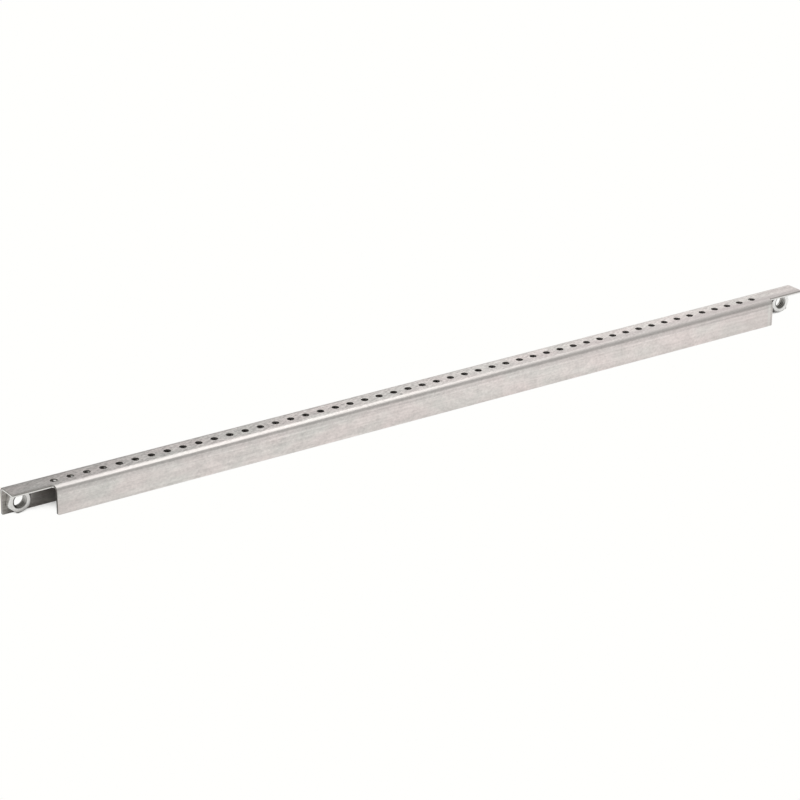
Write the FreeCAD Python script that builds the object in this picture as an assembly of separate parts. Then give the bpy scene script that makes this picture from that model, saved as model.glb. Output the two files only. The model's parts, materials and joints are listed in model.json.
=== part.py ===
import FreeCAD, Part
import math
import os

# Mounting rail: a folded sheet-steel channel, web up and open side down, with one row of
# round holes along the web and a hexagon nut inside the back flange at each end.
# Millimetres. +X runs along the rail, -Y is the front flange, +Z is up. The origin is at
# the middle of the rail's outline, on the plane of the two flange edges that it rests on.

# Channel section
rail_length = 692.5
rail_width = 23.0
rail_height = 20.5
sheet_thickness = 2.0
inner_bend_radius = 1.0

# Hole row on the web's centre line. The row runs on as long as a hole keeps its margin.
hole_diameter = 5.2
hole_pitch = 12.5
first_hole_from_left = 34.25
least_hole_from_right = 40.0

# Notches that take the front flange away at both ends
left_notch_length = 30.5
right_notch_length = 33.5
notch_depth_in_web = 5.0
notch_corner_radius = 1.5

# Rounded corners of the blank: the front flange's lower ones and those at the rail's ends
flange_corner_radius = 1.0
end_corner_radius = 0.4

# Hexagon nuts, size M10 and low, seated on the inside of the back flange
nut_from_end = 11.0
nut_gap_under_web = 0.35
nut_across_flats = 16.0
nut_across_corners = 17.8
nut_thickness = 5.0
nut_face_diameter = 15.2
nut_chamfer_angle = 30.0
nut_thread_minor_diameter = 8.4
nut_countersink_diameter = 11.0
nut_countersink_angle = 120.0
left_nut_turn = 18.0
right_nut_turn = 0.0

# Clearance holes in the back flange, behind the nuts
flange_hole_diameter = 10.5

# How far a cutting body reaches past the face it cuts
overrun = 1.0

# How close an edge has to be to a plane to count as lying in it
touch = 0.001

# Values that follow from the ones above
outer_bend_radius = inner_bend_radius + sheet_thickness
left_end = -rail_length / 2
right_end = rail_length / 2
front_face = -rail_width / 2
back_face = rail_width / 2
back_flange_inside = back_face - sheet_thickness
web_underside = rail_height - sheet_thickness
flange_start = left_end + left_notch_length
flange_end = right_end - right_notch_length
notch_edge = front_face + notch_depth_in_web
hole_row_room = rail_length - first_hole_from_left - least_hole_from_right
hole_count = int(hole_row_room / hole_pitch) + 1
nut_axis_height = web_underside - nut_gap_under_web - nut_across_corners / 2
left_nut_place = left_end + nut_from_end
right_nut_place = right_end - nut_from_end


def vector(x, y, z):
    return FreeCAD.Vector(x, y, z)


def line(start, end):
    return Part.LineSegment(start, end).toShape()


def bend(centre_y, centre_z, radius, start_angle, end_angle):
    """Arc in the YZ plane at the rail's left end, angles in degrees from +Y."""
    def point(angle):
        turn = math.radians(angle)
        y = centre_y + radius * math.cos(turn)
        z = centre_z + radius * math.sin(turn)
        return vector(left_end, y, z)

    middle_angle = (start_angle + end_angle) / 2
    return Part.Arc(point(start_angle), point(middle_angle), point(end_angle)).toShape()


def channel():
    """The folded section, drawn once and run along the whole rail."""
    bend_y = back_face - outer_bend_radius
    bend_z = rail_height - outer_bend_radius
    inside = back_flange_inside
    x = left_end
    edges = [
        line(vector(x, front_face, 0), vector(x, front_face, bend_z)),
        bend(-bend_y, bend_z, outer_bend_radius, 180, 90),
        line(vector(x, -bend_y, rail_height), vector(x, bend_y, rail_height)),
        bend(bend_y, bend_z, outer_bend_radius, 90, 0),
        line(vector(x, back_face, bend_z), vector(x, back_face, 0)),
        line(vector(x, back_face, 0), vector(x, inside, 0)),
        line(vector(x, inside, 0), vector(x, inside, bend_z)),
        bend(bend_y, bend_z, inner_bend_radius, 0, 90),
        line(vector(x, bend_y, web_underside), vector(x, -bend_y, web_underside)),
        bend(-bend_y, bend_z, inner_bend_radius, 90, 180),
        line(vector(x, -inside, bend_z), vector(x, -inside, 0)),
        line(vector(x, -inside, 0), vector(x, front_face, 0)),
    ]
    section = Part.Face(Part.Wire(edges))
    return section.extrude(vector(rail_length, 0, 0))


def edges_at(shape, x=None, y=None, z=None):
    """The shape's edges that lie in each plane given, such as x=0 and z=0."""
    def lies_in(edge, plane, axis):
        box = edge.BoundBox
        low, high = getattr(box, axis + "Min"), getattr(box, axis + "Max")
        return max(abs(low - plane), abs(high - plane)) < touch

    planes = [(plane, axis) for plane, axis in ((x, "X"), (y, "Y"), (z, "Z")) if plane is not None]
    return [edge for edge in shape.Edges
            if all(lies_in(edge, plane, axis) for plane, axis in planes)]


def notch(start, length, corner_x):
    """Block that removes the front flange, its bend and a strip of the web, and leaves a
    rounded corner in the web at corner_x."""
    corner = vector(start, front_face - overrun, -overrun)
    width = overrun + notch_depth_in_web
    block = Part.makeBox(length, width, rail_height + 2 * overrun, corner)
    return block.makeFillet(notch_corner_radius, edges_at(block, x=corner_x, y=notch_edge))


def with_rounded_corners(sheet):
    """Rounds the corners of the notched sheet, before its holes are made."""
    for radius, spots in (
        (flange_corner_radius, [dict(x=flange_start, z=0), dict(x=flange_end, z=0)]),
        (end_corner_radius, [dict(x=left_end, z=0), dict(x=right_end, z=0),
                             dict(x=left_end, y=notch_edge), dict(x=right_end, y=notch_edge)]),
    ):
        edges = [edge for spot in spots for edge in edges_at(sheet, **spot)]
        sheet = sheet.makeFillet(radius, edges)
    return sheet


def web_hole(number):
    """Round punched hole in the web; number 0 is the first from the left."""
    x = left_end + first_hole_from_left + number * hole_pitch
    foot = vector(x, 0, web_underside - overrun)
    depth = sheet_thickness + 2 * overrun
    return Part.makeCylinder(hole_diameter / 2, depth, foot, vector(0, 0, 1))


def flange_hole(x):
    """Round hole through the back flange, on a nut's axis."""
    foot = vector(x, back_flange_inside - overrun, nut_axis_height)
    depth = sheet_thickness + 2 * overrun
    return Part.makeCylinder(flange_hole_diameter / 2, depth, foot, vector(0, 1, 0))


def make_rail(nut_places):
    """One piece of sheet: the section less its notches and holes, with rounded corners."""
    notched = channel().cut([
        notch(left_end - overrun, left_notch_length + overrun, flange_start),
        notch(flange_end, right_notch_length + overrun, flange_end),
    ])
    holes = [web_hole(number) for number in range(hole_count)]
    holes += [flange_hole(x) for x in nut_places]
    return with_rounded_corners(notched).cut(holes)


def turned(outline):
    """Solid of revolution about Z from a closed outline of (radius, height) pairs."""
    points = [vector(radius, 0, height) for radius, height in outline]
    face = Part.Face(Part.makePolygon(points + points[:1]))
    return face.revolve(vector(0, 0, 0), vector(0, 0, 1), 360)


def make_nut(x, turn):
    """Hexagon nut with chamfered faces and a countersunk bore, on the back flange."""
    sharp_corner = nut_across_flats / 2 / math.cos(math.radians(30))
    corners = []
    for number in range(6):
        angle = math.radians(turn + 60 * number)
        corners.append(vector(sharp_corner * math.cos(angle), sharp_corner * math.sin(angle), 0))
    hexagon = Part.Face(Part.makePolygon(corners + corners[:1]))
    prism = hexagon.extrude(vector(0, 0, nut_thickness))

    corner_radius = nut_across_corners / 2
    face_radius = nut_face_diameter / 2
    chamfer = (corner_radius - face_radius) * math.tan(math.radians(nut_chamfer_angle))
    blank = turned([
        (0, 0),
        (face_radius, 0),
        (corner_radius, chamfer),
        (corner_radius, nut_thickness - chamfer),
        (face_radius, nut_thickness),
        (0, nut_thickness),
    ])

    minor_radius = nut_thread_minor_diameter / 2
    mouth_radius = nut_countersink_diameter / 2
    half_angle = math.radians(nut_countersink_angle / 2)
    countersink = (mouth_radius - minor_radius) / math.tan(half_angle)
    bore = turned([
        (0, -overrun),
        (mouth_radius, -overrun),
        (mouth_radius, 0),
        (minor_radius, countersink),
        (minor_radius, nut_thickness - countersink),
        (mouth_radius, nut_thickness),
        (mouth_radius, nut_thickness + overrun),
        (0, nut_thickness + overrun),
    ])

    nut = prism.common(blank).cut(bore)
    nut.rotate(vector(0, 0, 0), vector(1, 0, 0), 90)
    nut.translate(vector(x, back_flange_inside, nut_axis_height))
    return nut


pieces = {
    "rail": make_rail([left_nut_place, right_nut_place]),
    "nut_left": make_nut(left_nut_place, left_nut_turn),
    "nut_right": make_nut(right_nut_place, right_nut_turn),
}

os.makedirs("parts", exist_ok=True)
for node, shape in pieces.items():
    box = shape.BoundBox
    print(node, "solids", len(shape.Solids), "valid", shape.isValid(),
          "volume %.1f" % shape.Volume,
          "box %.2f %.2f %.2f to %.2f %.2f %.2f" % (box.XMin, box.YMin, box.ZMin,
                                                    box.XMax, box.YMax, box.ZMax))
    shape.exportStep("parts/%s.step" % node)
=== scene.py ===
# %% [markdown]
# # A punched and folded mounting rail
#
# The object is a steel channel, about 0.7 m long, that was punched as a flat strip and then
# folded. A row of 50 holes runs along its web, the front flange is cut back at both ends, and
# a hexagon nut sits inside the back flange at each end. The packed model gives the rail's outer
# size and the places of its holes and nuts. This script gives the rail its finished edges and
# surfaces, the nuts their threads, and the picture its light.

# %% Load the frame
import json
import math

import bpy
from mathutils import Matrix, Vector
from mathutils.geometry import delaunay_2d_cdt


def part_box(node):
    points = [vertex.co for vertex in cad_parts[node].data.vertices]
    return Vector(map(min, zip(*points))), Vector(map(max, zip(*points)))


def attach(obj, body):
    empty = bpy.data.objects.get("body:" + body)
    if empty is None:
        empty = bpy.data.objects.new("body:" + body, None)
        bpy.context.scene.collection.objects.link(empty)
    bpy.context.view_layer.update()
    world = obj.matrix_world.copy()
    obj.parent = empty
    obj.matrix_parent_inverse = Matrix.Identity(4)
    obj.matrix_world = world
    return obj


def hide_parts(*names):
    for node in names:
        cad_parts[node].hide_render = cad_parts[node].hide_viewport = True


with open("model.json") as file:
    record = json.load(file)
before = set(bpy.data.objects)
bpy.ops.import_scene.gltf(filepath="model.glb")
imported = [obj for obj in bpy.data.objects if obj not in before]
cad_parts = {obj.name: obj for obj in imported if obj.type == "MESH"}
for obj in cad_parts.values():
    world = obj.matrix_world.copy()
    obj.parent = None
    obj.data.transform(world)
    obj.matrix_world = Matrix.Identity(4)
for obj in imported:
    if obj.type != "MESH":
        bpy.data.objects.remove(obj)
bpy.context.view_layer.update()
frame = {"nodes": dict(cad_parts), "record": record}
scene = bpy.context.scene
scene.view_settings.view_transform = "Standard"

millimetre = 0.001
mounts = {mount["name"]: mount for mount in frame["record"]["mounts"]}
rail_low, rail_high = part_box("rail")
rail_size = rail_high - rail_low
print("rail in mm:", [round(side / millimetre, 2) for side in rail_size])

# %% [markdown]
# ## The camera
#
# A long lens from about two metres flattens the perspective, as a catalogue photograph does.
# The camera could be set by eye, but the holes have a known spacing, so its place and its lens
# were fitted to them instead. It comes first, and everything else is judged through it.

# %% Camera
camera_place = Vector((-1.13496, -1.59057, 0.82685))
camera_aim = Vector((-0.02262, 0.01255, 0.00665))
camera_roll = math.radians(0.42)

camera_data = bpy.data.cameras.new("camera")
camera_data.lens = 131.52
camera_data.sensor_width = 36.0
camera_data.clip_start = 0.05
camera = bpy.data.objects.new("camera", camera_data)
scene.collection.objects.link(camera)
look = (camera_aim - camera_place).to_track_quat("-Z", "Y").to_matrix().to_4x4()
camera.matrix_world = Matrix.Translation(camera_place) @ look @ Matrix.Rotation(camera_roll, 4, "Z")
scene.camera = camera
print("camera distance in m:", round((camera_aim - camera_place).length, 3))

# %% [markdown]
# ## The sheet, unrolled
#
# The real rail starts as a flat strip. Holes and notches are punched while it is flat, and the
# press then folds it twice. The mesh follows the same order. Every point is first placed on
# the flat strip by three numbers: how far along the rail, how far across the strip, and how
# deep below the outer face. One function then folds it. That keeps the hole rims, the notch
# corners and the bends exact, which a boolean cut on a folded mesh would not.
#
# A press brake doesn't leave an exact arc. The sheet starts to turn a little before the arc and
# goes on a little after it, so the highlight along the bend has a soft start. The bend below
# is the plain arc averaged over a short length to each side, and it is followed in small steps
# to find where it lies.

# %% The bend
sheet = 2.0 * millimetre
inner_radius = 1.0 * millimetre
outer_radius = inner_radius + sheet
arc_run = outer_radius * math.pi / 2
ease = 2.2 * millimetre
bend_run = arc_run + 2 * ease
bend_steps = 20
curve_steps = 12 * bend_steps


def turn_at(place):
    """How far the sheet has turned at a place along the bend, in radians."""
    def summed(reach):
        """The plain arc's turn, added up from the bend's start."""
        inside = min(max(reach, 0.0), arc_run)
        return (inside ** 2 / (2 * arc_run) + max(reach - arc_run, 0.0)) * math.pi / 2

    return (summed(place) - summed(place - 2 * ease)) / (2 * ease)


step_length = bend_run / curve_steps
bend_curve = [(0.0, 0.0, 0.0)]
for step in range(curve_steps):
    halfway = turn_at((step + 0.5) * step_length)
    y, z = bend_curve[-1][:2]
    y += math.sin(halfway) * step_length
    z += math.cos(halfway) * step_length
    bend_curve.append((y, z, turn_at((step + 1) * step_length)))
setback = bend_curve[-1][0]
print("the bend starts this far from the corner, in mm:", round(setback / millimetre, 3))

# %% Sizes of the strip
flange_flat = rail_size.z - setback
web_flat = rail_size.y - 2 * setback
front_bend_starts = flange_flat
front_bend_ends = front_bend_starts + bend_run
back_bend_starts = front_bend_ends + web_flat
back_bend_ends = back_bend_starts + bend_run
strip_width = back_bend_ends + flange_flat
web_middle = front_bend_ends + web_flat / 2
print("strip width along its outer face in mm:", round(strip_width / millimetre, 2))


# %% Folding
def along_bend(place):
    """Place across and up from the bend's start, and the turn, at a place along the bend."""
    steps = min(max(place / bend_run * curve_steps, 0.0), curve_steps)
    low = min(int(steps), curve_steps - 1)
    share = steps - low
    return [here + (on - here) * share for here, on in zip(bend_curve[low], bend_curve[low + 1])]


def section(across):
    """Outer face of the folded section: its place (y, z) and the direction it faces."""
    half = rail_size.y / 2
    if across <= front_bend_starts:
        return (-half, across), (-1.0, 0.0)
    if across <= front_bend_ends:
        y, z, turn = along_bend(across - front_bend_starts)
        return (-half + y, flange_flat + z), (-math.cos(turn), math.sin(turn))
    if across <= back_bend_starts:
        return (-half + setback + across - front_bend_ends, rail_size.z), (0.0, 1.0)
    if across <= back_bend_ends:
        y, z, turn = along_bend(back_bend_ends - across)
        return (half - y, flange_flat + z), (math.cos(turn), math.sin(turn))
    return (half, strip_width - across), (1.0, 0.0)


def folded(along, across, depth):
    """A point of the strip in the folded rail, with the outward and crosswise directions."""
    (y, z), (out_y, out_z) = section(across)
    outward = Vector((0, out_y, out_z))
    crosswise = Vector((0, out_z, -out_y))
    return Vector((along, y, z)) - outward * depth, outward, crosswise


middle_place = folded(0.0, web_middle, 0.0)[0]
print("the strip's middle, folded, in mm:", [round(value / millimetre, 2) for value in middle_place])

# %% [markdown]
# ## The outline of the strip
#
# The strip's outline is a rectangle with its front flange cut back at both ends. The punch
# leaves small radii in the corners, so each corner is a short arc. Eight corners with a radius
# each say all of it, and a change of notch length moves only two of them. Where the outline
# crosses a bend it gets one point for every step of the bend, so that the cut edge follows
# the curve.

# %% Corners of the blank
left_notch_length = 30.5 * millimetre
right_notch_length = 33.5 * millimetre
notch_depth_in_web = 5.0 * millimetre
notch_corner_radius = 1.5 * millimetre
flange_corner_radius = 1.0 * millimetre
end_corner_radius = 0.4 * millimetre
corner_steps = 6

notch_line = front_bend_ends + notch_depth_in_web - setback
flange_left = rail_low.x + left_notch_length
flange_right = rail_high.x - right_notch_length
bend_lines = []
for bend_start in (front_bend_starts, back_bend_starts):
    bend_lines += [bend_start + bend_run * step / bend_steps for step in range(bend_steps + 1)]

corners = [
    ((flange_left, 0.0), flange_corner_radius),
    ((flange_right, 0.0), flange_corner_radius),
    ((flange_right, notch_line), notch_corner_radius),
    ((rail_high.x, notch_line), end_corner_radius),
    ((rail_high.x, strip_width), end_corner_radius),
    ((rail_low.x, strip_width), end_corner_radius),
    ((rail_low.x, notch_line), end_corner_radius),
    ((flange_left, notch_line), notch_corner_radius),
]
print("the web is cut back by, in mm:", notch_depth_in_web / millimetre)


# %% Outline
def rounded_outline(corners):
    """Closed list of points, anticlockwise, with an arc at each corner."""
    points = []
    for number, (corner, radius) in enumerate(corners):
        here = Vector(corner)
        before = (Vector(corners[number - 1][0]) - here).normalized()
        after = (Vector(corners[(number + 1) % len(corners)][0]) - here).normalized()
        centre = here + (before + after) * radius
        for step in range(corner_steps + 1):
            turn = math.pi / 2 * step / corner_steps
            points.append(centre - after * radius * math.cos(turn) - before * radius * math.sin(turn))
    return points


# A stretch that rises less than this, in metres, runs along the strip and crosses no bend line.
least_rise = 1e-9
# A crossing nearer than this share to a stretch's end is the point that is already there.
end_share = 1e-6


def with_bend_points(points):
    """Adds a point wherever a stretch across the strip passes a line of a bend."""
    full = []
    for number, point in enumerate(points):
        after = points[(number + 1) % len(points)]
        full.append(point)
        rise = after.y - point.y
        if abs(rise) < least_rise:
            continue
        shares = [(line - point.y) / rise for line in bend_lines]
        for share in sorted(share for share in shares if end_share < share < 1 - end_share):
            full.append(point.lerp(after, share))
    return full


outline = with_bend_points(rounded_outline(corners))
print("points on the outline:", len(outline))

# %% [markdown]
# ## The holes
#
# The holes of the row are all alike and evenly spaced. The packed model names six pairs of
# them, with one hole between the two of each pair, so half of a pair's spacing is the pitch,
# and the first and the last pair say how many holes there are. An array modifier could repeat
# one hole, but here every hole is only a ring of points that the faces are filled up to. Two
# larger holes go through the back flange, one behind each nut.

# %% Rings of the holes
hole_steps = 40
flange_hole_steps = 72


def circle(centre, radius, steps):
    """Clockwise points, so that the sheet lies to the left of the line, as on the outline."""
    points = []
    for step in range(steps):
        turn = -2 * math.pi * step / steps
        points.append(Vector((centre[0] + radius * math.cos(turn), centre[1] + radius * math.sin(turn))))
    return points


row = [mounts["web_holes_01_03"], mounts["web_holes_48_50"]]
hole_radius = row[0]["dims"]["hole_r_mm"] * millimetre
hole_pitch = row[0]["dims"]["spacing_x_mm"] * millimetre / 2
first_hole = row[0]["pos_m"][0] - hole_pitch
last_hole = row[1]["pos_m"][0] + hole_pitch
hole_count = round((last_hole - first_hole) / hole_pitch) + 1
web_holes = [(first_hole + number * hole_pitch, web_middle) for number in range(hole_count)]

flange_holes = []
for side in ("left", "right"):
    mount = mounts["flange_hole_" + side]
    flange_holes.append((mount["pos_m"][0], strip_width - mount["pos_m"][2]))
flange_hole_radius = mounts["flange_hole_left"]["dims"]["r_mm"] * millimetre

loops = [outline]
loops += [circle(centre, hole_radius, hole_steps) for centre in web_holes]
loops += [circle(centre, flange_hole_radius, flange_hole_steps) for centre in flange_holes]
print("holes in the web:", hole_count, "and in the back flange:", len(flange_holes))

# %% [markdown]
# ## The cut edge
#
# A punched edge isn't a sharp right angle. This strip was punched from its inner face. There
# the punch first draws the sheet in to a small rounded roll-over, then shears a smooth bright
# band, and the rest of the thickness breaks away towards the outer face and leaves a duller,
# slightly receding wall. A bevel modifier would round both rims alike. So the profile below
# has those three zones, each point given by how far it lies back from the cut line and how
# deep it is. It is swept along the outline and round every hole, and each rim then catches
# the light as a real one does.

# %% Profile of the cut edge
roll_over = 0.25 * millimetre
break_ends = 1.15 * millimetre
break_recess = 0.05 * millimetre
break_fade = 0.15 * millimetre
break_corner = 0.08 * millimetre
# The middle of a round corner lies 0.3 of its radius in from where the sharp corner would be.
corner_middle = 0.3 * break_corner
roll_steps = 4

edge_profile = [
    (break_recess + break_corner, 0.0),
    (break_recess + corner_middle, corner_middle),
    (break_recess, break_corner),
    (break_recess, break_ends - break_fade),
    (0.0, break_ends),
]
for step in range(roll_steps + 1):
    turn = math.pi / 2 * step / roll_steps
    edge_profile.append((roll_over * (1 - math.cos(turn)), sheet - roll_over * (1 - math.sin(turn))))
print("points in the edge profile:", len(edge_profile))


# %% Which way the cut edge faces
def inward_directions(loop):
    """For each point of a loop, the direction in the strip that leads into the sheet."""
    directions = []
    for number, point in enumerate(loop):
        before = (point - loop[number - 1]).normalized()
        after = (loop[(number + 1) % len(loop)] - point).normalized()
        run = (before + after).normalized()
        directions.append(Vector((-run.y, run.x)))
    return directions


def profile_facing(number):
    """How much a point of the edge profile faces out of the cut, and out of the outer face."""
    before = edge_profile[max(number - 1, 0)]
    after = edge_profile[min(number + 1, len(edge_profile) - 1)]
    if number == 0:
        return 0.0, 1.0
    if number == len(edge_profile) - 1:
        return 0.0, -1.0
    back, down = after[0] - before[0], after[1] - before[1]
    size = math.hypot(back, down)
    return down / size, -back / size


edge_facings = [profile_facing(number) for number in range(len(edge_profile))]
print("the break faces out of the cut by", round(edge_facings[3][0], 2))

# %% [markdown]
# ## Sweep and fill
#
# The strip could be built flat and bent by a modifier, but Blender would then guess how its
# surfaces shade. Here every point gets its normal together with its place, so flat faces stay
# perfectly flat and only the bends and rims look round. Every point also keeps its place on the
# flat strip, in an attribute named blank, which the finish is laid out on later.


# %% Sweep the cut edges
class SheetMesh:
    """Collects the points, normals and faces of the folded strip."""

    def __init__(self):
        self.points = []
        self.normals = []
        self.strip = []
        self.faces = []

    def add(self, along, across, depth, inward=None, facing=(0.0, 1.0)):
        """Folds a point of the strip, keeps it and gives back its number."""
        place, outward, crosswise = folded(along, across, depth)
        normal = outward * facing[1]
        if inward is not None:
            normal -= (Vector((inward.x, 0, 0)) + crosswise * inward.y) * facing[0]
        self.points.append(place)
        self.normals.append(normal.normalized())
        self.strip.append((along, across, depth))
        return len(self.points) - 1


def sweep_edge(mesh, loop):
    """Sweeps the edge profile along a loop; gives back its first and last rows of points."""
    directions = inward_directions(loop)
    rows = []
    for (back, depth), facing in zip(edge_profile, edge_facings):
        row = []
        for point, inward in zip(loop, directions):
            place = point + inward * back
            row.append(mesh.add(place.x, place.y, depth, inward, facing))
        rows.append(row)
    for upper, lower in zip(rows, rows[1:]):
        for number in range(len(loop)):
            following = (number + 1) % len(loop)
            mesh.faces.append((upper[number], lower[number], lower[following], upper[following]))
    return rows[0], rows[-1]


strip_mesh = SheetMesh()
rims = [sweep_edge(strip_mesh, loop) for loop in loops]
print("points on the cut edges:", len(strip_mesh.points))

# %% [markdown]
# The two faces of the strip are filled between the rims. One polygon with holes would do where
# the sheet is flat, but its long triangles would cut across the bends. The constrained
# triangulation below keeps an edge on every bend line, so the bends are as smooth in the faces
# as in the cut edges. It works in millimetres, where its rounding does no harm.

# %% Fill the two faces
line_margin = 2.5 * millimetre
# How near a point's place across the strip has to be to a bend line, in metres, to lie on it
same_line = 1e-7
# How near two points have to be, in millimetres, to count as one
same_spot = 1e-6

holes = [(centre, hole_radius) for centre in web_holes]
holes += [(centre, flange_hole_radius) for centre in flange_holes]


def inside_a_hole(point, rim):
    """Whether a point of the strip lies inside a hole whose rim stands back by so much."""
    return any(math.hypot(point.x - x, point.y - y) < radius + rim for (x, y), radius in holes)


def fill_face(mesh, rows, outer):
    """Fills one face of the strip between the swept rims, with an edge on each bend line."""
    depth = 0.0 if outer else sheet
    rim = edge_profile[0 if outer else -1][0]
    facing = (0.0, 1.0 if outer else -1.0)
    numbers = [number for row in rows for number in row]
    flat = [Vector(mesh.strip[number][:2]) / millimetre for number in numbers]
    edges = []
    start = 0
    for row in rows:
        count = len(row)
        edges += [(start + number, start + (number + 1) % count) for number in range(count)]
        start += count
    for line in bend_lines:
        on_outline = range(len(rows[0]))
        places = [place for place in on_outline if abs(mesh.strip[numbers[place]][1] - line) < same_line]
        ends = (flange_left, flange_right) if line < notch_line else (rail_low.x, rail_high.x)
        for along in (ends[0] + line_margin, ends[1] - line_margin):
            places.append(len(numbers))
            numbers.append(mesh.add(along, line, depth, None, facing))
            flat.append(Vector((along, line)) / millimetre)
        places.sort(key=lambda place: flat[place].x)
        edges += list(zip(places, places[1:]))
    found = delaunay_2d_cdt(flat, edges, [], 1, same_spot)
    spots, triangles, origins = found[0], found[2], found[3]
    kept = []
    for spot, origin in zip(spots, origins):
        if origin:
            kept.append(numbers[origin[0]])
        else:
            kept.append(mesh.add(spot.x * millimetre, spot.y * millimetre, depth, None, facing))
    for triangle in triangles:
        middle = sum((spots[corner] for corner in triangle), Vector((0, 0))) / 3
        if inside_a_hole(middle * millimetre, rim):
            continue
        first, second, third = (spots[corner] for corner in triangle)
        anticlockwise = (second - first).cross(third - first) > 0
        face = [kept[corner] for corner in triangle]
        mesh.faces.append(face if anticlockwise == outer else face[::-1])


fill_face(strip_mesh, [rim[0] for rim in rims], outer=True)
fill_face(strip_mesh, [rim[1] for rim in rims], outer=False)
print("points on the whole strip:", len(strip_mesh.points))


# %% The folded rail
def finished_object(name, points, faces, normals=None):
    """Makes a smooth object of points and faces, with its own normals where they are given."""
    data = bpy.data.meshes.new(name)
    data.from_pydata([tuple(point) for point in points], [], faces)
    data.update()
    data.shade_smooth()
    if normals is not None:
        data.normals_split_custom_set_from_vertices([tuple(normal) for normal in normals])
    piece = bpy.data.objects.new(name, data)
    scene.collection.objects.link(piece)
    return piece


rail_piece = finished_object(
    "rail_folded_sheet", strip_mesh.points, strip_mesh.faces, strip_mesh.normals,
)
blank = rail_piece.data.attributes.new("blank", "FLOAT_VECTOR", "POINT")
blank.data.foreach_set("vector", [value for place in strip_mesh.strip for value in place])
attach(rail_piece, "root")
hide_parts("rail")
print("rail faces:", len(rail_piece.data.polygons))

# %% [markdown]
# ## The nuts
#
# Each nut is a hexagon bar turned down: a cone takes its six corners off on both faces, a
# countersink opens the bore, and a tap cuts the thread. All of that can be said as one radius
# for every angle and height, so the nut is a single grid wrapped round its axis: up the bore,
# over the rim, down the outside and back. A screw modifier would give the helix too, but not
# its clean run-out into the countersink.

# %% Nut sizes
nut_thickness = 5.0 * millimetre
nut_across_flats = 16.0 * millimetre
nut_across_corners = 17.8 * millimetre
nut_face_radius = 7.6 * millimetre
nut_chamfer = math.radians(30)
thread_pitch = 1.5 * millimetre
thread_minor = mounts["nut_thread_left"]["dims"]["r_mm"] * millimetre
thread_major = 5.0 * millimetre
thread_flat = 0.125 * thread_pitch
thread_flank = math.radians(30)
mouth_radius = 5.5 * millimetre
mouth_flank = math.radians(60)
nut_edge = 0.12 * millimetre
print("turns of thread in a nut:", round(nut_thickness / thread_pitch, 2))


# %% Nut outline
def hexagon_radius(angle):
    """Distance from the axis to the nut's side at this angle, corners turned down."""
    from_flat = angle % (math.pi / 3) - math.pi / 6
    return min(nut_across_flats / 2 / math.cos(from_flat), nut_across_corners / 2)


def bore_radius(angle, height):
    """Thread flanks at 60 degrees with a flat crest, opened by the countersinks."""
    phase = (height / thread_pitch - angle / (2 * math.pi)) % 1.0
    from_crest = abs(phase - 0.5) * thread_pitch
    flank = (0.5 * thread_pitch - from_crest - thread_flat) / math.tan(thread_flank)
    thread = thread_major - max(0.0, min(flank, thread_major - thread_minor))
    to_mouth = min(height, nut_thickness - height)
    countersink = mouth_radius - to_mouth * math.tan(mouth_flank)
    return max(thread, countersink)


up_the_bore = 64


def nut_column(angle):
    """The nut's outline in the plane of one angle, as (radius, height) pairs, edges eased."""
    side = hexagon_radius(angle)
    drop = (side - nut_face_radius) * math.tan(nut_chamfer)
    top = nut_thickness
    bore = []
    for step in range(up_the_bore + 1):
        height = top * step / up_the_bore
        bore.append((bore_radius(angle, height), height))
    outside = [
        (nut_face_radius - nut_edge, top),
        (nut_face_radius + 0.3 * nut_edge, top - 0.2 * nut_edge),
        (side - nut_edge, top - drop + 0.6 * nut_edge),
        (side, top - drop - nut_edge),
        (side, drop + nut_edge),
        (side - nut_edge, drop - 0.6 * nut_edge),
        (nut_face_radius + 0.3 * nut_edge, 0.2 * nut_edge),
        (nut_face_radius - nut_edge, 0.0),
    ]
    return bore + outside


# Even steps round the axis: a multiple of 12 puts one on each corner and each flat's middle.
around = 144
angles = [2 * math.pi * step / around for step in range(around)]
columns = [nut_column(angle) for angle in angles]
per_column = len(columns[0])
print("points in a nut:", around * per_column)

# %% [markdown]
# The nuts sit on the inside of the back flange, on the axes that the packed model gives, and
# each is turned about it as it was fixed: the left one a little, the right one not at all.
# Smooth shading alone would blur the flats into the chamfers, so every edge that turns by more
# than a set angle is marked sharp.


# %% Make the nuts
sharp_angle = math.radians(28)
left_turn = math.radians(18)
right_turn = 0.0


def make_nut(name, node, turn):
    """Wraps the grid round the nut's axis, seated where the node is seated."""
    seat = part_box(node)[1].y
    mount = mounts["nut_thread_" + node.split("_")[1]]
    axis_x, axis_z = mount["pos_m"][0], mount["pos_m"][2]
    points = []
    for angle, column in zip(angles, columns):
        for radius, height in column:
            x = axis_x + radius * math.cos(angle + turn)
            z = axis_z + radius * math.sin(angle + turn)
            points.append((x, seat - height, z))
    faces = []
    for number in range(around):
        following = (number + 1) % around
        for step in range(per_column):
            above = (step + 1) % per_column
            faces.append((
                number * per_column + above,
                following * per_column + above,
                following * per_column + step,
                number * per_column + step,
            ))
    piece = finished_object(name, points, faces)
    piece.data.set_sharp_from_angle(angle=sharp_angle)
    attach(piece, "root")
    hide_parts(node)
    print(name, "faces:", len(faces))
    return piece


nut_pieces = [
    make_nut("nut_left_tapped", "nut_left", left_turn),
    make_nut("nut_right_tapped", "nut_right", right_turn),
]

# %% [markdown]
# ## Surfaces as nodes
#
# Every surface here is made of shader nodes, with no pictures. They could be joined by hand in
# the shader editor, but a script can be read, repeated and changed. A small class keeps it
# short: each method adds a node or a few, joins them and gives back their output, so that a
# finish can be written almost as a formula.


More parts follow.
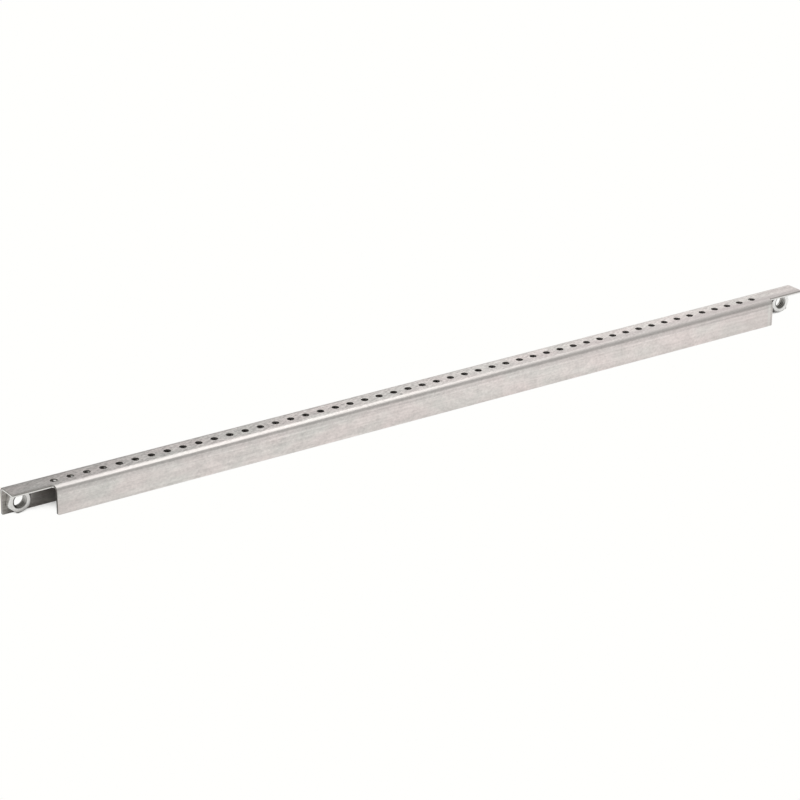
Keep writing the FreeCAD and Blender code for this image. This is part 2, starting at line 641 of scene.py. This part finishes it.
# %% Node helpers
class Nodes:
    """The node tree of a material or world, with short ways to add and join its nodes."""

    def __init__(self, owner):
        owner.use_nodes = True
        self.owner = owner
        self.nodes = owner.node_tree.nodes
        self.links = owner.node_tree.links

    def add(self, kind, **settings):
        node = self.nodes.new(kind)
        for name, value in settings.items():
            setattr(node, name, value)
        return node

    def feed(self, socket, value):
        """Gives a socket a plain value, or joins it to another node's output."""
        if isinstance(value, bpy.types.NodeSocket):
            self.links.new(value, socket)
        elif isinstance(value, tuple) and socket.type == "RGBA":
            socket.default_value = (*value, 1.0)
        else:
            socket.default_value = value

    def math(self, operation, *values):
        node = self.add("ShaderNodeMath", operation=operation)
        for socket, value in zip(node.inputs, values):
            self.feed(socket, value)
        return node.outputs[0]

    def noise(self, place, scale, detail, roughness=0.55):
        """Soft noise around 0.5, with its own number of features a metre each way."""
        stretch = self.add("ShaderNodeVectorMath", operation="MULTIPLY")
        self.feed(stretch.inputs[0], place)
        self.feed(stretch.inputs[1], scale)
        noise = self.add("ShaderNodeTexNoise")
        self.feed(noise.inputs["Vector"], stretch.outputs[0])
        self.feed(noise.inputs["Scale"], 1.0)
        self.feed(noise.inputs["Detail"], detail)
        self.feed(noise.inputs["Roughness"], roughness)
        return noise.outputs["Fac"]

    def distance(self, *differences):
        """Length of the difference whose parts along each direction are given."""
        total = 0.0
        for difference in differences:
            total = self.math("ADD", self.times(difference, difference), total)
        return self.math("SQRT", total)

    def turned(self, place, degrees):
        node = self.add("ShaderNodeVectorRotate", rotation_type="Z_AXIS")
        self.feed(node.inputs["Vector"], place)
        self.feed(node.inputs["Angle"], math.radians(degrees))
        return node.outputs[0]

    def range(self, value, low, high, to_low=0.0, to_high=1.0, smooth=False):
        """Maps a value from one range to another and holds it there."""
        node = self.add("ShaderNodeMapRange", interpolation_type="SMOOTHSTEP" if smooth else "LINEAR")
        names = ("Value", "From Min", "From Max", "To Min", "To Max")
        for name, number in zip(names, (value, low, high, to_low, to_high)):
            self.feed(node.inputs[name], number)
        return node.outputs["Result"]

    def times(self, first, *others):
        """Multiplies two or more values."""
        for other in others:
            first = self.math("MULTIPLY", first, other)
        return first

    def stripe(self, value, middle, half_width):
        """1 on a line across the value, fading to 0 at its sides."""
        away = self.math("ABSOLUTE", self.math("SUBTRACT", value, middle))
        return self.range(away, 0.0, half_width, 1.0, 0.0, smooth=True)

    def mix(self, share, first, second):
        """Blends two colours, each a tuple or another node's output."""
        node = self.add("ShaderNodeMix", data_type="RGBA")
        sockets = {socket.name: socket for socket in node.inputs if socket.type == "RGBA"}
        self.feed(node.inputs["Factor"], share)
        self.feed(sockets["A"], first)
        self.feed(sockets["B"], second)
        return [socket for socket in node.outputs if socket.type == "RGBA"][0]

    def lay_over(self, colour, *layers):
        """Lays (share, colour) layers over a colour, one after the other."""
        for share, layer in layers:
            colour = self.mix(share, colour, layer)
        return colour

    def shade(self, colour, *changes):
        """Lightens and darkens a colour by (pattern, strength) pairs; 0.5 changes nothing."""
        level = 1.0
        for pattern, strength in changes:
            change = self.times(self.math("SUBTRACT", pattern, 0.5), strength)
            level = self.math("ADD", change, level)
        node = self.add("ShaderNodeVectorMath", operation="SCALE")
        self.feed(node.inputs[0], colour)
        self.feed(node.inputs["Scale"], level)
        return node.outputs[0]

    def parts(self, vector):
        node = self.add("ShaderNodeSeparateXYZ")
        self.feed(node.inputs[0], vector)
        return node.outputs

    def bump(self, height, strength, distance):
        node = self.add("ShaderNodeBump")
        self.feed(node.inputs["Height"], height)
        self.feed(node.inputs["Strength"], strength)
        self.feed(node.inputs["Distance"], distance)
        return node.outputs["Normal"]


def new_material(name):
    nodes = Nodes(bpy.data.materials.new(name))
    return nodes, nodes.nodes["Principled BSDF"]


def dress(piece, material):
    piece.data.materials.clear()
    piece.data.materials.append(material)


helper_names = [name for name in vars(Nodes) if not name.startswith("_")]
print("node helpers:", ", ".join(helper_names))

# %% [markdown]
# ## Zinc-coated sheet
#
# The sheet is steel with a thin zinc coat. The coat is mottled in soft patches, a little
# warmer here and greyer there, and rolling leaves fine streaks along its length. A picture of
# zinc could be wrapped round the rail, but noise can be laid out on the unrolled strip, and the
# streaks then follow the sheet round its bends. The patterns are kept faint, because with
# strong contrast the rail would look like stone. Only the fine grain and some short slanting
# scuffs are stronger, and only on the web.

# %% Patterns in the zinc
zinc, zinc_shader = new_material("zinc_coated_sheet")
blank_place = zinc.add("ShaderNodeAttribute", attribute_name="blank").outputs["Vector"]
clouds = zinc.range(zinc.noise(blank_place, (24, 50, 50), 2.0), 0.39, 0.61)
mottle = zinc.range(zinc.noise(blank_place, (95, 150, 150), 3.0, 0.6), 0.3, 0.7)
grain = zinc.range(zinc.noise(blank_place, (420, 520, 520), 2.0, 0.6), 0.3, 0.7)
streaks = zinc.range(zinc.noise(blank_place, (11, 560, 560), 4.0, 0.6), 0.3, 0.7)
bands = zinc.range(zinc.noise(blank_place, (3, 190, 190), 2.0), 0.35, 0.65)
scuff_place = zinc.turned(blank_place, -27.0)
scuffs = zinc.range(zinc.noise(scuff_place, (70, 520, 520), 3.0, 0.6), 0.32, 0.68)
print("nodes for the patterns:", len(zinc.nodes))

# %% [markdown]
# The coat isn't the same everywhere. Towards the right it is warmer, and a painted light makes
# it a little lighter. On the bends it was stretched and is more even, and a painted highlight
# makes it lighter there. A strip of the web beside the front bend turns pink towards the right,
# with painted shade, and both ends get painted shade. Each of these places is a share from 0 to
# 1 that is worked out from the place on the strip, and another colour is laid over the zinc by
# that share. Painting them by hand would need a picture.

# %% Places on the sheet
along_strip, across_strip, below_face = zinc.parts(blank_place)
towards_the_right = zinc.range(along_strip, rail_low.x, rail_high.x)
from_edge = zinc.math("MINIMUM", across_strip, zinc.math("SUBTRACT", strip_width, across_strip))
on_the_web = zinc.range(from_edge, front_bend_starts, front_bend_ends)
bend_middle = front_bend_starts + 0.55 * bend_run
on_the_bend = zinc.stripe(from_edge, bend_middle, 0.5 * bend_run)
# Where the painted shade at both ends of the rail fades in.
left_shade_from = rail_low.x + 90 * millimetre
left_shade_to = rail_low.x + 10 * millimetre
right_shade_from = rail_high.x - 110 * millimetre
right_shade_to = rail_high.x - 15 * millimetre
left_end_shade = zinc.range(along_strip, left_shade_from, left_shade_to)
right_end_shade = zinc.range(along_strip, right_shade_from, right_shade_to)
# The strip of painted shade beside the front bend, stronger towards the right.
front_strip_middle = front_bend_ends + 1.2 * millimetre
front_strip_half = 6.5 * millimetre
front_strip_shade = zinc.times(
    zinc.stripe(across_strip, front_strip_middle, front_strip_half),
    zinc.range(towards_the_right, 0.45, 1.0, 0.0, 0.8),
)
print("nodes for the patterns and places:", len(zinc.nodes))

# %% Colour of the zinc
zinc_grey = (0.765, 0.75, 0.72)
zinc_warm = (0.86, 0.775, 0.755)
# Painted highlight: the stretched coat on the bends is made lighter and even.
zinc_stretched_highlight = (0.80, 0.765, 0.74)
# Painted shade, with a pink tone.
zinc_pink_shade = (0.60, 0.53, 0.53)
zinc_end_shade = (0.56, 0.53, 0.51)
warm_share = zinc.math("ADD", zinc.times(clouds, 0.6), zinc.times(towards_the_right, 0.4))
patterned = zinc.shade(
    zinc.mix(warm_share, zinc_grey, zinc_warm),
    (mottle, 0.18),
    (grain, zinc.range(on_the_web, 0.0, 1.0, 0.18, 0.46)),
    (streaks, 0.15),
    (bands, 0.10),
    (scuffs, zinc.times(on_the_web, 0.29)),
    # Painted light: the zinc is made lighter towards the right.
    (towards_the_right, 0.08),
)
# Painted shade at both ends of the rail.
painted_end_shade = zinc.math("ADD", zinc.times(left_end_shade, 0.3), zinc.times(right_end_shade, 0.42))
zinc_colour = zinc.lay_over(
    patterned,
    (zinc.times(on_the_bend, 0.7), zinc_stretched_highlight),
    (front_strip_shade, zinc_pink_shade),
    (painted_end_shade, zinc_end_shade),
)
print("nodes for the zinc's colour:", len(zinc.nodes))

# %% [markdown]
# ## Marks from the press
#
# The press brake bends the sheet over the two shoulders of its die, and each shoulder rubs a
# narrow line into the flange just below the bend: a burnished stripe with a dull one under it.
# A broader painted dark reflection lies where the bend begins, darkest towards the right.
# All three run the whole length at the same distance from the bend, so they are stripes in the
# crosswise place on the strip, counted from the nearer edge.

# %% Press marks and a painted dark reflection
burnished_line = rail_size.z - 6.0 * millimetre
burnished_half = 0.9 * millimetre
dull_line = rail_size.z - 7.3 * millimetre
dull_half = 0.7 * millimetre
# A painted dark reflection where the bend begins, broader than the die lines.
dark_reflection_line = rail_size.z - 4.7 * millimetre
dark_reflection_half = 1.9 * millimetre
side_fade = 0.1 * millimetre
burnished_colour = (0.84, 0.81, 0.79)
die_line_and_reflection_colour = (0.42, 0.40, 0.39)
outer_side = zinc.range(below_face, 0.0, side_fade, 1.0, 0.0)
burnished = zinc.times(zinc.stripe(from_edge, burnished_line, burnished_half), outer_side)
dulled = zinc.times(zinc.stripe(from_edge, dull_line, dull_half), outer_side)
painted_dark_reflection = zinc.times(zinc.stripe(from_edge, dark_reflection_line, dark_reflection_half), outer_side)
marked_colour = zinc.lay_over(
    zinc_colour,
    (zinc.times(burnished, 0.12), burnished_colour),
    (zinc.times(dulled, 0.12), die_line_and_reflection_colour),
    # Painted dark reflection, stronger towards the right.
    (zinc.times(painted_dark_reflection, zinc.range(towards_the_right, 0.6, 0.9, 0.24, 0.42)), die_line_and_reflection_colour),
)
print("the burnished line's height in mm:", round(burnished_line / millimetre, 2))

# %% [markdown]
# ## Bare steel at the cuts
#
# Punching goes through the zinc, so the walls of the holes and notches are bare steel. The
# depth below the outer face says which zone of the cut a point is in, so the walls need no
# material of their own. The break next to the outer face is rough and grey, a little less so
# towards the right. The sheared band under it is smooth and bright in the cuts of the web. In
# the cuts of the flanges it gets a painted dark reflection instead.

# %% Cut walls
break_fades_from = break_ends - break_fade
# Painted dark reflection on the sheared band of the flanges' cut ends.
flange_band_shade = (0.34, 0.33, 0.31)
web_band_colour = (0.88, 0.87, 0.85)
break_colour = (0.33, 0.32, 0.30)
in_the_break = zinc.times(
    zinc.range(below_face, 0.0, break_corner),
    zinc.range(below_face, break_fades_from, break_ends, 1.0, 0.0),
    zinc.range(towards_the_right, 0.3, 0.95, 1.0, 0.75),
)
in_the_band = zinc.times(
    zinc.range(below_face, break_fades_from, break_ends),
    zinc.range(below_face, sheet - roll_over, sheet - 0.3 * roll_over, 1.0, 0.0, smooth=True),
)
with_walls = zinc.lay_over(
    marked_colour,
    (in_the_band, zinc.mix(on_the_web, flange_band_shade, web_band_colour)),
    (in_the_break, break_colour),
)
print("the break's share of the wall:", round(break_ends / sheet, 3))

# %% [markdown]
# The outer face gets a few marks of colour. Along the two notches the web has a thin painted
# shade line, fainter on the right. The front flange has a painted light band and then a painted
# shade line just before its right end, and there is a small dark spot in front of the row, near
# the rail's middle. Each is a stripe or a spot of its own colour on the outer side.

# %% Painted shade along the notches
# A thin painted shade line along the notch edges in the web.
notch_shade_line = notch_line + 0.3 * millimetre
notch_shade_half = 1.6 * millimetre
notch_shade_colour = (0.30, 0.29, 0.27)
in_a_notch = zinc.math(
    "MAXIMUM",
    zinc.range(along_strip, flange_left, flange_left - millimetre),
    zinc.range(along_strip, flange_right, flange_right + millimetre),
)
notch_shade = zinc.times(
    zinc.stripe(across_strip, notch_shade_line, notch_shade_half),
    in_a_notch,
    outer_side,
    zinc.range(towards_the_right, 0.3, 0.95, 1.0, 0.3),
)
print("nodes with the notch marks:", len(zinc.nodes))

# %% Painted light and shade on the front flange, and a dark spot
# A painted light band, then a painted shade line, just before the front flange's right end.
light_band_middle = flange_right - 3.4 * millimetre
light_band_half = 2.2 * millimetre
light_band_colour = (0.84, 0.85, 0.81)
shade_line_middle = flange_right - 1.3 * millimetre
shade_line_half = 0.9 * millimetre
shade_line_colour = (0.40, 0.40, 0.38)
on_front_flange = zinc.range(across_strip, front_bend_ends, front_bend_starts)
flange_face = zinc.times(on_front_flange, outer_side)
painted_light_band = zinc.times(zinc.stripe(along_strip, light_band_middle, light_band_half), flange_face)
painted_shade_line = zinc.times(zinc.stripe(along_strip, shade_line_middle, shade_line_half), flange_face)

# A small dark spot on the web in front of the row.
speck_along = -34.5 * millimetre
speck_across = web_middle - 5.8 * millimetre
speck_core = 0.6 * millimetre
speck_edge = 1.4 * millimetre
speck_colour = (0.20, 0.19, 0.18)
from_speck = zinc.distance(
    zinc.math("SUBTRACT", along_strip, speck_along),
    zinc.math("SUBTRACT", across_strip, speck_across),
)
dark_speck = zinc.times(zinc.range(from_speck, speck_core, speck_edge, 1.0, 0.0), outer_side)
with_marks = zinc.lay_over(
    with_walls,
    (zinc.times(notch_shade, 0.45), notch_shade_colour),
    (zinc.times(painted_light_band, 0.45), light_band_colour),
    (zinc.times(painted_shade_line, 0.40), shade_line_colour),
    (zinc.times(dark_speck, 0.8), speck_colour),
)
print("nodes with all the marks:", len(zinc.nodes))

# %% [markdown]
# The inner face gets painted shade: a darker grey that shows in streaks, with a painted shadow
# that is darkest at the rail's left tip. A second material could dress it, but the depth below
# the outer face tells the two faces apart within one.

# %% Painted shade on the inner face
inner_shade_grey = (0.205, 0.198, 0.178)
inner_face = zinc.range(below_face, sheet - side_fade, sheet)
tip_from = rail_low.x + 14 * millimetre
tip_to = rail_low.x + 6 * millimetre
# Painted shadow, darkest at the rail's left tip.
left_tip_shadow = zinc.range(along_strip, tip_from, tip_to, 0.0, 0.35)
inner_shade_streaks = zinc.range(streaks, 0.0, 1.0, 0.56, 0.08)
inner_shade_share = zinc.times(inner_face, zinc.math("ADD", inner_shade_streaks, left_tip_shadow))
sheet_colour = zinc.mix(inner_shade_share, with_marks, inner_shade_grey)
print("nodes with the inner face:", len(zinc.nodes))

# %% [markdown]
# All of the sheet is bare metal to the light, so it is fully metallic, and what it mirrors
# depends on its roughness. The streaks vary that a little, the burnished line and the sheared
# band are smoother, and the break is rougher. A bump breaks up the mirrored light. It is at
# most two hundredths of a millimetre deep, and weaker on the stretched bends. Real relief that
# fine would need millions of faces.

# %% Join the sheet's finish
sheet_roughness = zinc.range(streaks, 0.0, 1.0, 0.36, 0.30)
sheet_roughness = zinc.math("SUBTRACT", sheet_roughness, zinc.times(burnished, 0.08))
sheet_roughness = zinc.math("SUBTRACT", sheet_roughness, zinc.times(in_the_band, 0.12))
sheet_roughness = zinc.math("ADD", sheet_roughness, zinc.times(in_the_break, 0.15))
relief = zinc.math("ADD", zinc.times(streaks, 0.5), zinc.times(grain, 0.5))
relief_strength = zinc.range(on_the_bend, 0.0, 1.0, 0.18, 0.04)
relief_depth = 0.02 * millimetre
zinc.feed(zinc_shader.inputs["Base Color"], sheet_colour)
zinc.feed(zinc_shader.inputs["Metallic"], 1.0)
zinc.feed(zinc_shader.inputs["Roughness"], sheet_roughness)
zinc.feed(zinc_shader.inputs["Normal"], zinc.bump(relief, relief_strength, relief_depth))
dress(rail_piece, zinc.owner)
dress(frame["nodes"]["rail"], zinc.owner)
print("nodes in the sheet's finish:", len(zinc.nodes))

# %% [markdown]
# ## Bright nut steel
#
# The nuts are turned and then plated, so they are lighter and smoother than the sheet. The
# right nut gets painted light, so it is lighter than the left one. The corner chamfers get
# painted shade towards the bottom, most of all on the left nut. The thread gets painted shade,
# darkest in its lower half. The distance from the bore's axis tells face, chamfer and bore from
# each other. Both axes lie at the same height and the same distance from the rail's middle, so
# one material can dress both nuts.

# %% Places on the nuts
plated, plated_shader = new_material("plated_nut")
nut_place = plated.add("ShaderNodeTexCoord").outputs["Object"]
nut_parts = plated.parts(nut_place)
nut_mount = mounts["nut_thread_right"]["pos_m"]
beside = plated.math("SUBTRACT", plated.math("ABSOLUTE", nut_parts["X"]), nut_mount[0])
above = plated.math("SUBTRACT", nut_parts["Z"], nut_mount[2])
from_axis = plated.distance(beside, above)
to_the_right_nut = plated.range(nut_parts["X"], rail_low.x, rail_high.x)
chamfer_fade = 0.15 * millimetre
on_the_chamfer = plated.range(
    from_axis, nut_face_radius - chamfer_fade, nut_face_radius + chamfer_fade,
)
bore_inset = 0.1 * millimetre
in_the_bore = plated.range(from_axis, mouth_radius - bore_inset, thread_major - bore_inset)
print("a nut's axis from the rail's middle in mm:", round(nut_mount[0] / millimetre, 2))

# %% Nut colours
# Painted light: the right nut is lighter than the left one.
nut_shaded_left = (0.86, 0.85, 0.83)
nut_lit_right = (0.94, 0.935, 0.92)
# Painted shade on the lower chamfers, most of all on the left nut.
left_chamfer_shade = (0.42, 0.41, 0.39)
right_chamfer_shade = (0.80, 0.79, 0.77)
high_chamfer = (0.92, 0.915, 0.90)
# Painted shade in the thread, darkest in its lower half.
thread_shade = (0.22, 0.215, 0.20)
upper_thread = (0.78, 0.77, 0.75)
nut_mottle = plated.range(plated.noise(nut_place, (400, 400, 400), 2.0), 0.3, 0.7)
face_colour = plated.mix(to_the_right_nut, nut_shaded_left, nut_lit_right)
face_colour = plated.shade(face_colour, (nut_mottle, 0.12))
low_chamfer_shade = plated.mix(to_the_right_nut, left_chamfer_shade, right_chamfer_shade)
chamfer_shade_to = -8 * millimetre
chamfer_shade_from = -4 * millimetre
chamfer_height = plated.range(above, chamfer_shade_to, chamfer_shade_from)
chamfer_colour = plated.mix(chamfer_height, low_chamfer_shade, high_chamfer)
thread_shade_to = -3 * millimetre
thread_shade_from = 3.5 * millimetre
bore_height = plated.range(above, thread_shade_to, thread_shade_from)
bore_colour = plated.mix(bore_height, thread_shade, upper_thread)
nut_colour = plated.lay_over(
    face_colour, (on_the_chamfer, chamfer_colour), (in_the_bore, bore_colour),
)
print("nodes for the nuts' colour:", len(plated.nodes))

# %% Nut finish
plated.feed(plated_shader.inputs["Base Color"], nut_colour)
plated.feed(plated_shader.inputs["Metallic"], 1.0)
plated.feed(plated_shader.inputs["Roughness"], plated.range(nut_mottle, 0.0, 1.0, 0.2, 0.28))
for piece in nut_pieces + [frame["nodes"]["nut_left"], frame["nodes"]["nut_right"]]:
    dress(piece, plated.owner)
print("nodes in the nuts' finish:", len(plated.nodes))

# %% [markdown]
# ## Floor
#
# The rail lies on a white sweep, a large sheet of paper that runs on past the picture's edges.
# Strong lamps could make it white, but they would wash out the metal. So the camera simply
# sees paper white, and only close to the rail and under it does the floor show what the lamps
# make it, which leaves a faint shadow. An ambient-occlusion node tells how open a place is.
# Mirrored in the metal, the open floor is a dimmer white and the covered floor is left to the
# lamps, so the channel is as dark inside as a real one.

# %% Floor
floor_reach = 4.0
floor_corners = [(x * floor_reach, y * floor_reach, 0) for x, y in ((-1, -1), (1, -1), (1, 1), (-1, 1))]
floor_data = bpy.data.meshes.new("floor")
floor_data.from_pydata(floor_corners, [], [(0, 1, 2, 3)])
floor = bpy.data.objects.new("floor", floor_data)
scene.collection.objects.link(floor)
print("the floor reaches, in m:", floor_reach)

# %% White sweep
paper_white = (1.0, 1.0, 0.985)
paper_grey = (0.9, 0.9, 0.9)
covered_reach = 60 * millimetre
sweep = Nodes(bpy.data.materials.new("white_sweep"))
sweep.nodes.clear()
rays = sweep.add("ShaderNodeLightPath").outputs
nearby = sweep.add("ShaderNodeAmbientOcclusion")
sweep.feed(nearby.inputs["Distance"], covered_reach)
openness = nearby.outputs["AO"]
seen = sweep.math("MAXIMUM", rays["Is Camera Ray"], rays["Is Transmission Ray"])
seen_white = sweep.times(seen, sweep.range(openness, 0.0, 0.16, smooth=True))
mirrored_white = sweep.times(
    rays["Is Glossy Ray"],
    sweep.range(openness, 0.3, 0.5, smooth=True),
    sweep.range(openness, 0.5, 0.8, 0.62, 0.40),
)
matte = sweep.add("ShaderNodeBsdfDiffuse")
sweep.feed(matte.inputs["Color"], paper_grey)
glow = sweep.add("ShaderNodeEmission")
sweep.feed(glow.inputs["Color"], paper_white)
blend = sweep.add("ShaderNodeMixShader")
sweep.feed(blend.inputs[0], sweep.math("ADD", seen_white, mirrored_white))
sweep.feed(blend.inputs[1], matte.outputs[0])
sweep.feed(blend.inputs[2], glow.outputs[0])
sweep.feed(sweep.add("ShaderNodeOutputMaterial").inputs["Surface"], blend.outputs[0])
dress(floor, sweep.owner)
print("nodes in the sweep:", len(sweep.nodes))

# %% [markdown]
# ## Background
#
# The camera has to see white past the floor, but metal that mirrored white all round would look
# flat. The Light Path node tells the rays apart. Mirrored rays see a plain room instead, given
# by their direction: light far to the right and to the left behind the rail, with a dark gap
# between, and a dimmer, more even light in front. All other rays see one even, lower level. A
# picture of a studio would do the same, but it would have to be read from a file.

# %% Mirrored room
world = bpy.data.worlds.new("studio")
scene.world = world
studio = Nodes(world)
studio.nodes.clear()
direction = studio.parts(studio.add("ShaderNodeTexCoord").outputs["Generated"])
to_the_right = studio.range(direction["X"], 0.36, 0.64)
to_the_left = studio.range(direction["X"], 0.22, -0.1, 0.0, 0.6)
to_the_back = studio.range(direction["Y"], -0.5, 0.1)
higher_up = studio.times(
    studio.range(direction["Z"], 0.42, 0.8),
    studio.range(direction["X"], 0.595, 0.635, 0.0, 0.6),
)
behind = studio.times(
    studio.math("ADD", to_the_right, to_the_left),
    to_the_back,
    studio.math("SUBTRACT", 1.0, higher_up),
)
front_level = studio.range(direction["X"], 0.43, 0.6, 0.51, 0.40)
in_front = studio.times(studio.math("SUBTRACT", 1.0, to_the_back), front_level)
room = studio.math("ADD", behind, in_front)
print("nodes for the room:", len(studio.nodes))

# %% World
low_level = 0.6
rays = studio.add("ShaderNodeLightPath").outputs
mirrored = studio.math("MAXIMUM", rays["Is Glossy Ray"], rays["Is Transmission Ray"])
not_mirrored = studio.range(mirrored, 0.0, 1.0, low_level, 0.0)
ambient = studio.math("ADD", studio.times(room, mirrored), not_mirrored)
background = studio.add("ShaderNodeBackground")
studio.feed(background.inputs["Color"], paper_white)
studio.feed(background.inputs["Strength"], studio.math("MAXIMUM", ambient, rays["Is Camera Ray"]))
studio.feed(studio.add("ShaderNodeOutputWorld").inputs["Surface"], background.outputs[0])
print("nodes in the world:", len(studio.nodes))

# %% [markdown]
# ## Light
#
# One large softbox hangs over the rail and a little behind it. Several small lamps would leave
# several bright spots on the metal, where the real rail shows broad, soft light. The web
# mirrors the lamp, so the place of the lamp's edges sets how light the web is, and the
# roughness of the zinc blurs those edges away.


# %% Softbox
def softbox(name, place, size, turn, watts):
    """A rectangular lamp that looks straight down, turned about the vertical."""
    data = bpy.data.lights.new(name, "AREA")
    data.shape = "RECTANGLE"
    data.size, data.size_y = size
    data.energy = watts
    lamp = bpy.data.objects.new(name, data)
    scene.collection.objects.link(lamp)
    lamp.matrix_world = Matrix.Translation(Vector(place)) @ Matrix.Rotation(turn, 4, "Z")
    lamp.visible_camera = False
    return lamp


lamp_place = (0.235, 0.59, 1.1)
lamp_size = (1.25, 2.08)
lamp_turn = math.radians(-20.0)
lamp_watts = 7.7
overhead = softbox("overhead", lamp_place, lamp_size, lamp_turn, lamp_watts)
print("the softbox hangs this high, in m:", round(overhead.matrix_world.translation.z, 2))

# %% [markdown]
# ## The sizes
#
# The rail's outer size is measured from the packed model at the start, and the folded strip
# is built to it.
